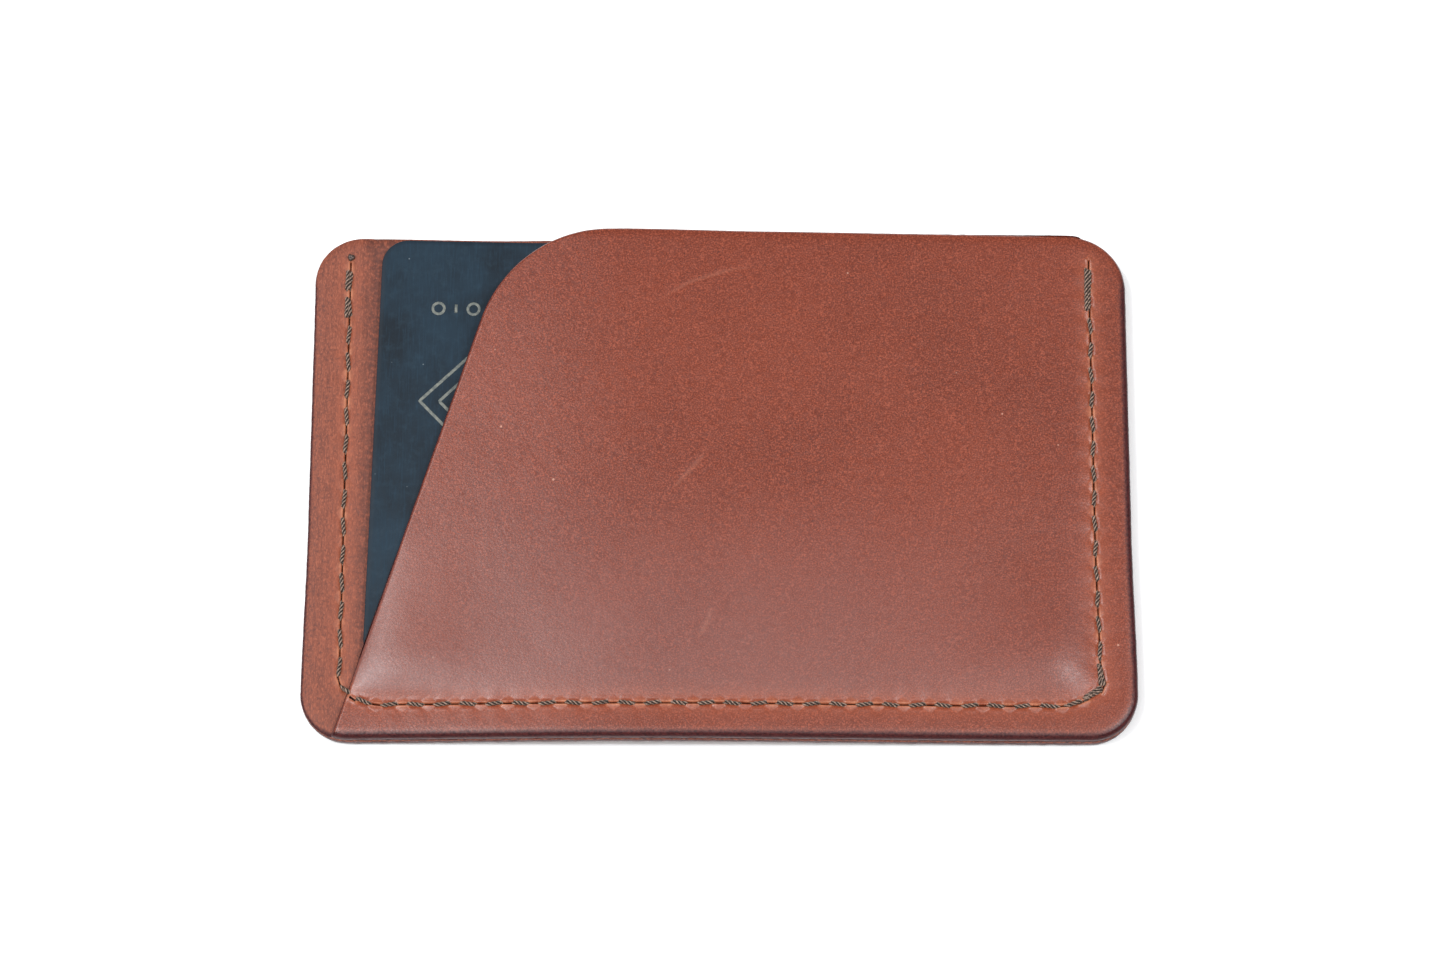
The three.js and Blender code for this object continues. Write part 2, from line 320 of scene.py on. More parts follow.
# For each point: how far it is from the rim of the nearest slit, and how far to its side.
def slit_coordinates(points):
    best = np.full(len(points), np.inf)
    side = np.zeros(len(points))
    for hole, direction in zip(HOLES, SLIT_ALONG):
        offset = points - hole
        s = np.clip(offset @ direction, -SLIT_HALF_LENGTH, SLIT_HALF_LENGTH)
        distance = np.hypot(*(offset - s[:, None] * direction).T)
        nearer = distance < best
        best[nearer] = distance[nearer]
        across = np.abs(offset @ turned(direction))
        side[nearer] = (across / np.maximum(distance, 1e-6))[nearer]
    return best - SLIT_HALF_WIDTH, side


def inside_seam(points):
    ring = np.vstack([HOLES, [[HOLES[-1, 0], 60], [HOLES[0, 0], 60]]])
    return inside_ring(points, ring)


# How the seam shapes the leather: a shallow valley, raised lips beside each slit, a
# press mark under each stitch and a pucker outside it.
def seam_relief(points):
    distance, stitch, along = seam_coordinates(points)
    rim, side = slit_coordinates(points)
    middle = np.minimum(along, LENGTHS[stitch] - along)
    valley = -0.13 * bell(distance, 0.75)
    under = -0.12 * bell(distance, 0.30) * smoothstep(0.45, 0.95, middle)
    shoulder = 0.07 * bell(distance - 0.55, 0.22) * smoothstep(0.5, 1.2, middle)
    uneven = 0.75 + 0.55 * value_noise(*points.T, 1.7, 21)
    lip = 0.16 * uneven * bell(rim - 0.15, 0.17) * smoothstep(0.35, 0.9, side)
    dip = -0.14 * bell(np.clip(rim, 0, None), 0.05)
    height = 0.014 + 0.020 * value_noise(*points.T, 4.1, 22)
    waves = height * bell(distance - 1.3, 0.6) * np.cos(2 * np.pi * along / LENGTHS[stitch])
    return valley + under + shoulder + lip + dip - waves


# The bow across the holder's width, highest a little left of its middle.
def arch(x):
    left = x < ARCH_TOP_X
    width = np.where(left, ARCH_HALF_LEFT, ARCH_HALF_RIGHT)
    t = np.clip(np.abs(x - ARCH_TOP_X) / width, 0, 1)
    return ARCH_HEIGHT * np.cos(np.pi / 2 * t) ** 2


# The back panel, the centre panel and the card lie flatter behind the thumb cut.
def bow(points):
    x, y = points.T
    flat = smoothstep(-12, 26, y) * (1 - smoothstep(-28, 4, x))
    return arch(x) * (1 - 0.85 * flat)


def corner_lift(points):
    x, y = points.T
    return CORNER_LIFT * (1 - smoothstep(-15, 6, x)) * smoothstep(-14, 27, y)


# How far outside the card's place each point is, with round corners. The place runs on
# past the open edge.
def outside_card(points):
    c, t = math.cos(CARD_TURN), math.sin(CARD_TURN)
    x, y = (points - CARD_CENTRE).T
    along, up = np.abs(c * x + t * y), c * y - t * x
    over_x = along - (CARD_SIZE[0] / 2 - CARD_RADIUS)
    over_y = -up - (CARD_SIZE[1] / 2 - CARD_RADIUS)
    both = np.hypot(np.clip(over_x, 0, None), np.clip(over_y, 0, None))
    return both + np.minimum(np.maximum(over_x, over_y), 0) - CARD_RADIUS


# Distance from the seam, whose line runs on from its last hole to the top edge.
def from_seam(points):
    distance, _, _ = seam_coordinates(points)
    beside = half_width(points[:, 1]) - RIGHT_SEAM_INSET - points[:, 0]
    return np.minimum(distance, np.clip(beside, 0, None))


# The outer face of the front panel swells gently inside the seam, stands up more steeply
# over the corners of the card, and falls to the strip at the foot of the slanted edge.
def dome(points):
    above = np.clip(points[:, 1] - BOTTOM_SEAM_Y, 0, None)
    beside = np.clip(half_width(points[:, 1]) - RIGHT_SEAM_INSET - points[:, 0], 0, None)
    swell = DOME_HEIGHT * (1 - np.exp(-above / DOME_REACH)) * (1 - np.exp(-beside / DOME_REACH))
    step = (1 - bell(above, MOUND_STEP)) * (1 - bell(beside, MOUND_STEP))
    for x, y, height in MOUNDS:
        gap = np.hypot(points[:, 0] - x, points[:, 1] - y)
        swell = swell + height * step * bell(gap, MOUND_REACH)
    swell *= smoothstep(0.0, 1.8, from_seam(points))
    across = (points[:, 0] - cut_x(points[:, 1])) * math.cos(CUT_LEAN)
    low = np.sqrt(1 - smoothstep(FALL_FOOT_Y, FALL_TOP_Y, points[:, 1]))
    fall = low * np.exp(-np.clip(across, 0, None) / (1.2 + 1.9 * low))
    return np.where(inside_seam(points), swell * (1 - 0.9 * fall), 0.0)


# The hollow under the front panel: deep enough over the card, nothing at the seam.
def rise(points):
    distance = from_seam(points)
    gap = np.clip(outside_card(points), 0, None)
    share = distance / (distance + gap + 1e-6)
    slope = np.where(gap > 0, smoothstep(0.0, 1.0, share), 1.0)
    slope *= smoothstep(0.0, RISE_REACH, distance)
    return np.where(inside_seam(points), RISE * slope, 0.0)


# How far inside the holder's outline each point is.
def edge_gap(points):
    x, y = points.T
    top_radius = np.where(x < 0, TOP_LEFT_RADIUS, TOP_RIGHT_RADIUS)
    radius = np.where(y < 0, FOOT_RADIUS, top_radius)
    over_x = np.abs(x) - half_width(y) + radius
    over_y = np.abs(y) - TOP_Y + radius
    both = np.hypot(np.clip(over_x, 0, None), np.clip(over_y, 0, None))
    return radius - both - np.minimum(np.maximum(over_x, over_y), 0)


# The leather is rubbed thinner towards the outline.
def edge_fall(points):
    left = 1 - np.clip(edge_gap(points) / EDGE_FALL_WIDTH, 0, 1)
    return EDGE_FALL * left ** 2


def undulation(points, amount=0.05):
    x, y = points.T
    broad = value_noise(x, y, 14.0, 11)
    small = value_noise(x, y, 5.0, 12)
    fine = value_noise(x, y, 1.9, 13)
    return amount * broad + 0.4 * amount * small + 0.10 * amount * fine


def front_top(points):
    raised = arch(points[:, 0]) + corner_lift(points) + dome(points)
    relief = seam_relief(points) + undulation(points) - mark_strength(points, deep=True)
    return FRONT_TOP + raised + relief - edge_fall(points)


def front_bottom(points):
    hollow = CENTRE_TOP + arch(points[:, 0]) + corner_lift(points) + rise(points)
    return np.minimum(hollow, front_top(points) - THINNEST)


# The strip beside the card: sewn at the left, and pressed down a little where cards lie.
def strip_top(points):
    shown = smoothstep(0.0, 0.5, cut_x(points[:, 1]) - points[:, 0])
    relief = seam_relief(points) + undulation(points, 0.035)
    dish = STRIP_DISH * smoothstep(DISH_X - 0.5, DISH_X + 0.5, points[:, 0])
    print_fade_and_top_highlight = np.where(shown > 0.5, edge_fall(points), 0.0)
    return CENTRE_TOP - LAYER_GAP + bow(points) + shown * relief - dish - print_fade_and_top_highlight


def back_bottom(points):
    distance, _, _ = seam_coordinates(points)
    rim, side = slit_coordinates(points)
    groove = 0.46 * np.exp(-(distance / 0.46) ** 4)
    lip = 0.10 * bell(rim - 0.17, 0.20) * smoothstep(0.35, 0.9, side)
    height = bow(points) + groove - lip + 0.03 + np.abs(undulation(points, 0.03))
    return np.maximum(height, 0.005)


# Painted sheen on the front: paler and pinker towards its foot, most at the left. On the strip:
# darker in a band along the card's left edge.
def foot_sheen_and_card_band(points, front):
    x, y = points.T
    if front:
        foot = (1 - smoothstep(-22, 4, y)) * (1 - 0.55 * smoothstep(0, 42, x))
        return foot * smoothstep(0.0, 2.5, from_seam(points)) * inside_seam(points)
    return smoothstep(-44.3, -43.0, x) * (1 - 0.7 * smoothstep(-41.5, -37.0, x))


def level(height):
    return lambda points: height + bow(points)


# What shows on the front at each point: the front panel, or the strip beside it.
def shown_top(points):
    covered = points[:, 0] > cut_x(points[:, 1])
    return np.where(covered, front_top(points), strip_top(points))


# ---- wear marks

# Faint scuffs and creases of the front panel: points along each, its width and its depth.
MARKS = (
    (((-7.8, 22.3), (-3.5, 24.9), (1.5, 26.6), (5.0, 27.0)), 0.26, 0.020),
    (((-6.0, -1.9), (-3.2, 1.2), (-1.2, 3.6)), 0.30, 0.035),
    (((-2.6, -20.3), (-1.5, -18.2), (-0.9, -15.9)), 0.26, 0.025),
)


MARK_PATHS = [resample(np.array(points), 0.35, closed=False) for points, _, _ in MARKS]


# How strongly a scuff shows at each point, from 0 to 1, and how deep it presses in.
def mark_strength(points, deep=False):
    total = np.zeros(len(points))
    for path, (_, width, depth) in zip(MARK_PATHS, MARKS):
        low, high = path.min(0) - 2, path.max(0) + 2
        near = np.all((points > low) & (points < high), 1)
        if not near.any():
            continue
        gaps = points[near][:, None] - path[None]
        distance = np.sqrt((gaps ** 2).sum(2))
        at = distance.argmin(1) / (len(path) - 1)
        fade = np.sin(np.pi * np.clip(at, 0.03, 0.97)) ** 0.6
        total[near] += bell(distance.min(1), width) * fade * (depth if deep else 1)
    return total


def mark_points():
    rows = []
    for path, (_, width, _) in zip(MARK_PATHS, MARKS):
        across = unit(turned(np.gradient(path, axis=0)))
        rows += [path + across * width * k for k in (-2.6, -1.6, -0.8, 0.0, 0.8, 1.6, 2.6)]
    return np.vstack(rows)


# ---- meshes

def add_mesh(name, vertices, faces, attributes=None):
    mesh = bpy.data.meshes.new(name)
    mesh.from_pydata((np.asarray(vertices) * MM).tolist(), [], faces)
    for key, values in (attributes or {}).items():
        layer = mesh.attributes.new(key, "FLOAT", "POINT")
        layer.data.foreach_set("value", np.asarray(values, np.float32))
    mesh.polygons.foreach_set("use_smooth", [True] * len(mesh.polygons))
    mesh.update()
    obj = bpy.data.objects.new(name, mesh)
    bpy.context.collection.objects.link(obj)
    return obj


# Unit vectors that point into a closed outline from its points.
def inward(ring):
    ahead = unit(np.roll(ring, -1, 0) - ring)
    behind = unit(ring - np.roll(ring, 1, 0))
    bisector = unit(turned(ahead) + turned(behind))
    stretch = np.clip((bisector * turned(ahead)).sum(1), 0.6, 1)
    return bisector / stretch[:, None]


def hex_grid(low, high, spacing):
    rows = np.arange(low[1], high[1], spacing * 0.866)
    points = []
    for k, y in enumerate(rows):
        x = np.arange(low[0] + (k % 2) * spacing / 2, high[0], spacing)
        points.append(np.stack([x, np.full_like(x, y)], 1))
    return np.vstack(points)


def distance_to(points, ring):
    distance = np.full(len(points), np.inf)
    for chunk in np.array_split(ring, max(1, len(ring) // 100)):
        gaps = points[:, None] - chunk[None]
        distance = np.minimum(distance, np.sqrt((gaps ** 2).sum(2)).min(1))
    return distance


# Rows of points beside every stitch, close together where the leather bends most.
def band_points():
    rows = []
    across = (0.0, 0.13, 0.27, 0.42, 0.58, 0.78, 1.05, 1.45, 2.0)
    for start, direction, length in zip(HOLES, ALONG, LENGTHS):
        s = np.linspace(0, length, 15)[:-1]
        line = start + s[:, None] * direction
        for offset in across:
            step = 1 if offset < 0.9 else 2
            rows.append(line[::step] + offset * turned(direction))
            if offset:
                rows.append(line[::step] - offset * turned(direction))
    return np.vstack(rows)


# Points round a slit at a fixed distance from its rim.
def slit_ring(hole, direction, offset):
    radius = SLIT_HALF_WIDTH + offset
    steps = SLIT_POINTS // 2 - 1
    ahead = arc(SLIT_HALF_LENGTH, 0, radius, -90, 90, steps)
    behind = arc(-SLIT_HALF_LENGTH, 0, radius, 90, 270, steps)
    local = np.vstack([ahead, behind])
    return hole + local[:, :1] * direction + local[:, 1:] * turned(direction)


# Points just outside the card's edge, where the hollow under the front panel starts to close.
def card_margin():
    ring = resample(card_outline(), 0.8)
    return np.vstack([ring - inward(ring) * gap for gap in (0.06, 0.25)])


# Free points of one face of a panel. A shown face is fine, above all along the seam. A hidden
# face is finest at the card's edge.
def face_points(ring, holes, shown, spacing):
    grid = hex_grid(ring.min(0), ring.max(0), spacing)
    if shown:
        distance, _, _ = seam_coordinates(grid)
        band = band_points()
        rim, _ = slit_coordinates(band)
        points = np.vstack([grid[distance > 2.4], mark_points(), band[rim > 0.85]])
        into = inward(ring)
        edge_rows = [ring[::2] + into[::2] * gap for gap in (0.22, 0.5, 0.85)]
        points = np.vstack([points[distance_to(points, ring) > 1.2]] + edge_rows)
    else:
        points = np.vstack([grid[np.abs(outside_card(grid) - 0.15) > 0.4], card_margin()])
    rim, _ = slit_coordinates(points)
    points = points[rim > (0.85 if shown else 0.3)]
    if shown and len(holes):
        rings = [slit_ring(HOLES[k], SLIT_ALONG[k], gap) for k in holes for gap in SLIT_RINGS]
        points = np.vstack([points] + rings)
    points = points[inside_ring(points, ring)]
    return points[distance_to(points, ring) > (0.12 if shown else 0.5)]


# Four-sided faces from each closed ring of points to the next.
def strips(rings):
    faces = []
    for above, below in zip(rings, rings[1:]):
        faces += np.stack([above, below, np.roll(below, -1), np.roll(above, -1)], 1).tolist()
    return faces


# Triangles between an outer ring, some slits and free points. Returns the corners' positions,
# with the ring's first and each slit's next, and the triangles.
def triangulate(ring, holes, free):
    loops = [ring] + [slit_ring(HOLES[k], SLIT_ALONG[k], 0.0) for k in holes]
    edges = []
    start = 0
    for loop in loops:
        count = len(loop)
        edges += [(start + i, start + (i + 1) % count) for i in range(count)]
        start += count
    points = np.vstack(loops + [free])
    found = delaunay_2d_cdt([Vector(p) for p in points.tolist()], edges, [], 1, 1e-5)
    triangles, origins = found[2], found[3]
    # Every input point keeps its own number. Points that were merged share the first's.
    number = [group[0] if group else -1 for group in origins]
    faces = [[number[v] for v in triangle] for triangle in triangles]
    faces = np.array([f for f in faces if min(f) >= 0 and len(set(f)) == 3])
    centres = points[faces].mean(1)
    rim, _ = slit_coordinates(centres)
    cut = rim < -0.02 if len(holes) else np.zeros(len(faces), bool)
    return points, faces[~cut]


# What a panel's material needs at each point: how burnished it is, painted sheen at the foot of
# the front and a darker band on the strip, its scuffs, and how near it is to a slit and to the seam.
# The dye runs a little way in from the edge, and is cut back at the top and left edges as a painted
# highlight.
def panel_attributes(flat, ring, bevel, front):
    slit, _ = slit_coordinates(flat)
    distance, _, _ = seam_coordinates(flat)
    border = np.where(inside_seam(flat), 0.0, smoothstep(0.0, 1.2, distance))
    reach = 0.45 + 0.65 * smoothstep(-49.5, -43.5, flat[:, 0])
    dye_and_edge_highlight = 0.80 * (1 - np.clip((edge_gap(flat) - 0.15) / (reach - 0.15), 0, 1) ** 1.5)
    dye_and_edge_highlight = np.maximum(dye_and_edge_highlight, 0.40 * (1 - smoothstep(0.10, 0.45, distance_to(flat, ring))))
    # Less dye and burnish towards the top edge, and a little less dye along the left edge: painted highlight
    # where the edge catches the light.
    print_fade_and_top_highlight = 1 - 0.85 * smoothstep(23, 30, flat[:, 1])
    dye_and_edge_highlight *= print_fade_and_top_highlight * (0.8 + 0.2 * smoothstep(-49.5, -43.5, flat[:, 0]))
    bevel = bevel * (1 - 0.5 * smoothstep(24, 30, flat[:, 1]))
    return {
        "rim": np.maximum(bevel, dye_and_edge_highlight),
        "foot_sheen_and_card_band": foot_sheen_and_card_band(flat, front),
        "hole": bell(np.clip(slit, 0, None), 0.26),
        "seam": bell(distance, 1.5),
        "border": border,
        "mark": np.clip(mark_strength(flat), 0, 1),
    }


# A closed leather panel: two faces, a rounded burnished edge and walls in its slits.
def leather_panel(name, outline, top, bottom, holes, spacing, edge, shown, seed):
    ring = resample(outline, 0.33)
    into = inward(ring)
    cap = ring + into * CAP_INSET
    count = len(ring)
    travel = np.linspace(0, 1, count, endpoint=False)
    vertices, faces, rim_value = [], [], []
    size = 0
    caps = []
    for surface, is_shown in zip((top, bottom), shown):
        free = face_points(cap, holes, is_shown, spacing if is_shown else HIDDEN_SPACING)
        points, triangles = triangulate(cap, holes, free)
        vertices.append(np.column_stack([points, surface(points)]))
        rim_value.append(np.zeros(len(points)))
        caps.append((size, triangles))
        size += len(points)
    upper, lower = caps
    faces += (upper[1] + upper[0]).tolist()
    faces += (lower[1][:, ::-1] + lower[0]).tolist()
    # Rings of the edge, from the top face to the bottom face.
    rings = [upper[0] + np.arange(count)]
    for inset, depth, value, from_top in edge_profile(edge):
        wobble = 0.028 * value * value_noise(travel * 260 % 60, 7 * from_top + travel * 0, 0.8, 40 + seed)
        chatter = 0.018 * value * value_noise(travel * 310 % 60, 3 * depth + travel * 0, 0.35, 60 + seed)
        points = ring + into * (inset + wobble + chatter)[:, None]
        surface = top(points) if from_top else bottom(points)
        z = surface - depth if from_top else surface + depth
        vertices.append(np.column_stack([points, z]))
        rim_value.append(np.full(count, value))
        rings.append(size + np.arange(count))
        size += count
    rings.append(lower[0] + np.arange(count))
    faces += strips(rings)
    # Walls of the slits.
    for k in range(len(holes)):
        around = count + k * SLIT_POINTS + np.arange(SLIT_POINTS)
        faces += strips([lower[0] + around, upper[0] + around])
    vertices = np.vstack(vertices)
    attributes = panel_attributes(vertices[:, :2], ring, np.concatenate(rim_value), top is front_top)
    return add_mesh(name, vertices, faces, attributes)


# The edge's section: inset from the outline, height from the face, how burnished it is,
# and whether the height is measured from the top face. The radii are in millimetres.
def edge_profile(edge):
    top_radius, bottom_radius = edge
    rows = []
    for turn in (0, 20, 40, 60, 78, 90):
        a = math.radians(turn)
        rows.append((top_radius * (1 - math.sin(a)), top_radius * (1 - math.cos(a)), turn / 90, True))
    rows.append((-0.02, max(top_radius, 0.3) + 0.12, 1.0, True))
    rows.append((-0.02, max(bottom_radius, 0.3) + 0.02, 1.0, False))
    for turn in (90, 70, 45, 20, 0):
        a = math.radians(turn)
        rows.append((bottom_radius * (1 - math.sin(a)), bottom_radius * (1 - math.cos(a)), turn / 90, False))
    return rows


# ---- thread

# One thread of twisted plies along a path: its points, its faces and how far out on a ply each
# point is. sideways is level and across the path.
def plied_tube(path, sideways, phase):
    path = np.asarray(path, float)
    tangent = np.gradient(path, axis=0)
    tangent /= np.linalg.norm(tangent, axis=1)[:, None]
    side = sideways - (sideways * tangent).sum(1)[:, None] * tangent
    side /= np.linalg.norm(side, axis=1)[:, None]
    upward = np.cross(tangent, side)
    travel = np.append(0, np.cumsum(np.linalg.norm(np.diff(path, axis=0), axis=1)))
    angles = 2 * np.pi * np.arange(PLY_SIDES) / PLY_SIDES
    vertices, faces = [], []
    size = 0
    for ply in range(PLIES):
        turn = 2 * np.pi * (travel / TWIST_PITCH + ply / PLIES) + phase
        core = path + PLY_OFFSET * (np.cos(turn)[:, None] * side + np.sin(turn)[:, None] * upward)
        for angle in angles:
            across = np.cos(angle + turn)[:, None] * side + np.sin(angle + turn)[:, None] * upward
            vertices.append(core + PLY_RADIUS * across)
        rings = size + np.arange(PLY_SIDES) * len(path) + np.arange(len(path))[::-1, None]
        faces += strips(rings) + [rings[-1].tolist(), rings[0, ::-1].tolist()]
        size += PLY_SIDES * len(path)
    outer = np.tile(np.repeat(0.5 + 0.5 * np.cos(angles), len(path)), PLIES)
    return np.vstack(vertices), faces, outer


# Height of a stitch over the leather: the highest point nearby, then smoothed.
def run_height(points, surface, lift):
    z = surface(points)
    count = len(z)
    high = np.array([z[max(0, i - 3):i + 4].max() for i in range(count)])
    smooth = np.array([high[max(0, i - 2):i + 3].mean() for i in range(count)])
    return 0.35 * smooth + 0.65 * np.maximum(z, smooth - 0.10) + lift


# One staple of thread: up a leg, over the leather and down the other leg.
def staple(start, end, surface, lift, leg_z, sway=0.0, reach=(LEG_OFFSET, LEG_OFFSET), flip=1):
    direction = unit(end - start)
    across = turned(direction)
    first = start + direction * reach[0]
    last = end - direction * reach[1]
    length = np.hypot(*(last - first))
    s = np.linspace(0, length, max(12, int(length / 0.10)))
    slant = sway * np.cos(np.pi * s / length)
    flat = first + s[:, None] * direction + slant[:, None] * across
    z = run_height(flat, surface, lift) if flip > 0 else surface(flat) - lift
    gap = np.clip(np.minimum(s, length - s), 0, ELBOW)
    z = z - flip * (ELBOW - np.sqrt(ELBOW ** 2 - (ELBOW - gap) ** 2))
    run = np.column_stack([flat, z])
    leg_up = np.linspace(leg_z, z[0] - flip * 0.08, 6)
    leg_down = np.linspace(z[-1] - flip * 0.08, leg_z, 6)
    first_leg = np.column_stack([np.repeat(flat[:1], 6, 0), leg_up])
    last_leg = np.column_stack([np.repeat(flat[-1:], 6, 0), leg_down])
    return np.vstack([first_leg, run, last_leg]), np.append(across, 0.0)


def join_tubes(tubes):
    vertices, faces, outer = [], [], []
    size = 0
    for points, polygons, values in tubes:
        vertices.append(points)
        faces += [[v + size for v in polygon] for polygon in polygons]
        outer.append(values)
        size += len(points)
    return np.vstack(vertices), faces, np.concatenate(outer)


# At the lower right corner the stitches crowd together.
def leg_offset(hole):
    at_corner = HOLES[hole][0] > BOTTOM_SEAM_HALF - 0.1 and HOLES[hole][1] < RIGHT_SEAM_FOOT_Y + 0.1
    return CORNER_LEG_OFFSET if at_corner else LEG_OFFSET


def turns_corner(hole):
    return hole[0] > BOTTOM_SEAM_HALF + 1 and hole[1] < RIGHT_SEAM_FOOT_Y - 1


# The two stitches that turn the lower right corner, sewn twice.
CORNER_STITCHES = [i for i, hole in enumerate(HOLES[:-1]) if turns_corner(hole)]


# One thread through every hole, from the first stitch of the list to the last.
def sewn_thread(stitches, surface, lift, leg_z, flip):
    path, sideways = [], []
    for order, (a, b) in enumerate(stitches):
        sway = 0.10 * (-1) ** order
        lift_here = lift + 0.02 * math.sin(2.4 * order)
        reach = leg_offset(a), leg_offset(b)
        points, side = staple(HOLES[a], HOLES[b], surface, lift_here, leg_z, sway, reach, flip)
        path.append(points)
        sideways.append(np.repeat(side[None], len(points), 0))
    return plied_tube(np.vstack(path), np.vstack(sideways), 0.7)


# A short second thread over some stitches, where the seam was locked by sewing back.
def extra_stitch(a, b, offset, lift, reach=LEG_OFFSET, phase=0.0):
    direction = unit(HOLES[b] - HOLES[a])
    shift = turned(direction) * offset
    reaches = reach, reach
    points, side = staple(HOLES[a] + shift, HOLES[b] + shift, shown_top, lift, LOCK_Z + 0.5, 0.03, reaches)
    return plied_tube(points, np.repeat(side[None], len(points), 0), phase)


def needle_thread():
    last = len(HOLES) - 1
    order = [(i, i + 1) for i in range(last - 2)] + [(last - 2, last)]
    tubes = [sewn_thread(order, shown_top, 0.13, LOCK_Z + LOCK_GAP, 1)]
    for a in (0, 1):
        tubes.append(extra_stitch(a, a + 1, -0.34, 0.12, 0.50, 1.0 + a))
    tubes.append(extra_stitch(last - 2, last, 0.36, 0.12, 0.45, 2.0))
    for a in CORNER_STITCHES:
        tubes.append(extra_stitch(a, a + 1, 0.25, 0.15, 0.25, 0.4 * a))
    vertices, faces, outer = join_tubes(tubes)
    return add_mesh("needle_thread_plies", vertices, faces, {"outer": outer})


def bobbin_thread():
    order = [(i, i + 1) for i in range(len(HOLES) - 1)]
    vertices, faces, outer = sewn_thread(order, back_bottom, -0.02, LOCK_Z - LOCK_GAP, -1)
    return add_mesh("bobbin_thread_plies", vertices, faces, {"outer": outer})


# The melted end of the thread: a squat dark lump beside the first hole.
def melted_end():
    centre = HOLES[0] + MELTED_PLACE
    wide, long, high = MELTED_RADII
    base = strip_top(centre[None])[0]
    rows, columns = 14, 22
    polar = np.pi * np.arange(rows + 1)[:, None] / rows
    angle = 2 * np.pi * np.arange(columns) / columns
    swell = 1 + 0.10 * np.sin(3 * angle + 1.0) + 0.06 * np.sin(5 * angle + 3 * polar)
    x = wide * np.sin(polar) * np.cos(angle) * swell
    y = long * np.sin(polar) * np.sin(angle) * swell
    z = high * np.cos(polar) * (1 - 0.25 * np.exp(-(x * x + y * y) / 0.02))
    vertices = np.stack([centre[0] + x, centre[1] + y, base + 0.05 + z], -1).reshape(-1, 3)
    rings = np.arange(len(vertices)).reshape(-1, columns)
    return merged("thread_melted_end", vertices, strips(rings))


# A mesh whose points that coincide become one.
def merged(name, vertices, faces):
    obj = add_mesh(name, vertices, faces)
    work = bmesh.new()
    work.from_mesh(obj.data)
    bmesh.ops.remove_doubles(work, verts=work.verts, dist=1e-7)
    bmesh.ops.recalc_face_normals(work, faces=work.faces)
    work.to_mesh(obj.data)
    work.free()
    return obj


# ---- card

def card_outline():
    half_x, half_y = CARD_SIZE[0] / 2 - CARD_RADIUS, CARD_SIZE[1] / 2 - CARD_RADIUS
    corners = ((half_x, -half_y, -90), (half_x, half_y, 0), (-half_x, half_y, 90), (-half_x, -half_y, 180))
    ring = np.vstack([arc(x, y, CARD_RADIUS, a, a + 90) for x, y, a in corners])
    return on_card(ring)


# From the card's own directions to the holder's.
def on_card(points):
    c, s = math.cos(CARD_TURN), math.sin(CARD_TURN)
    along, up = np.asarray(points, float).T
    return CARD_CENTRE + np.stack([c * along - s * up, s * along + c * up], 1)


def card_body():
    ring = resample(card_outline(), 0.5)
    into = inward(ring)
    low, high = CARD_LOW[2], CARD_HIGH[2]
    thick = high - low
    cap = ring + into * 0.6
    free = hex_grid(cap.min(0), cap.max(0), 1.6)
    free = free[inside_ring(free, cap)]
    free = free[distance_to(free, cap) > 0.6]
    points, triangles = triangulate(cap, [], free)
    count, total = len(ring), len(points)
    vertices = [np.column_stack([points, high + bow(points)])]
    vertices.append(np.column_stack([points, low + bow(points)]))
    faces = triangles.tolist() + (triangles[:, ::-1] + total).tolist()
    rings = [np.arange(count)]
    size = 2 * total
    lower_edge = [(inset, thick - depth) for inset, depth in CARD_EDGE[::-1]]
    for inset, depth in [*CARD_EDGE, (0.0, thick / 2), *lower_edge]:
        flat = ring + into * inset
        vertices.append(np.column_stack([flat, high - depth + bow(flat)]))
        rings.append(size + np.arange(count))
        size += count
    rings.append(total + np.arange(count))
    faces += strips(rings)
    rim = np.concatenate([np.zeros(2 * total), np.ones(size - 2 * total)])
    return add_mesh("card_body", np.vstack(vertices), faces, {"rim": rim})


# Plain printed lines of the card: a row of rings and dashes, nested squares and two bars.
def print_lines():
    lines = []
    for k in range(7):
        centre = np.array(PRINT_ROW) + [PRINT_PITCH * k, 0]
        if k % 2 == 0:
            lines.append((arc(*centre, 0.72, 0, 360, 20)[:-1], True, 0.17))
        else:
            lines.append((centre + [[0, -0.55], [0, 0.55]], False, 0.17))
    centre = np.array(PRINT_SQUARES)
    for size in (2.2, 4.6, 7.0):
        corners = centre + size * np.array([[0, -1], [1, 0], [0, 1], [-1, 0]])
        lines.append((corners, True, 0.19))
    lines.append((centre + [[0.0, -9.0], [0.0, -16.0]], False, 0.19))
    lines.append((centre + [[1.6, -9.0], [1.6, -13.0]], False, 0.19))
    return lines


def card_print():
    vertices, faces = [], []
    size = 0
    high = CARD_HIGH[2]
    for points, closed, half in print_lines():
        path = resample(np.asarray(points, float), 0.3, closed)
        ahead = np.roll(path, -1, 0) - np.roll(path, 1, 0)
        if not closed:
            ahead = np.gradient(path, axis=0)
        across = turned(unit(ahead))
        count = len(path)
        section = ((-1, -0.04), (-1, 0.008), (-0.7, 0.014), (0.7, 0.014), (1, 0.008), (1, -0.04))
        for side, z in section:
            flat = on_card(path + across * side * half)
            vertices.append(np.column_stack([flat, high + z + bow(flat)]))
        rings = size + np.arange(len(section)) * count + np.arange(count)[:, None]
        if closed:
            faces += strips(np.vstack([rings, rings[:1]]))
        else:
            faces += strips(rings) + [rings[0].tolist(), rings[-1, ::-1].tolist()]
        size += len(section) * count
    return merged("card_print", np.vstack(vertices), faces)


# ---- materials

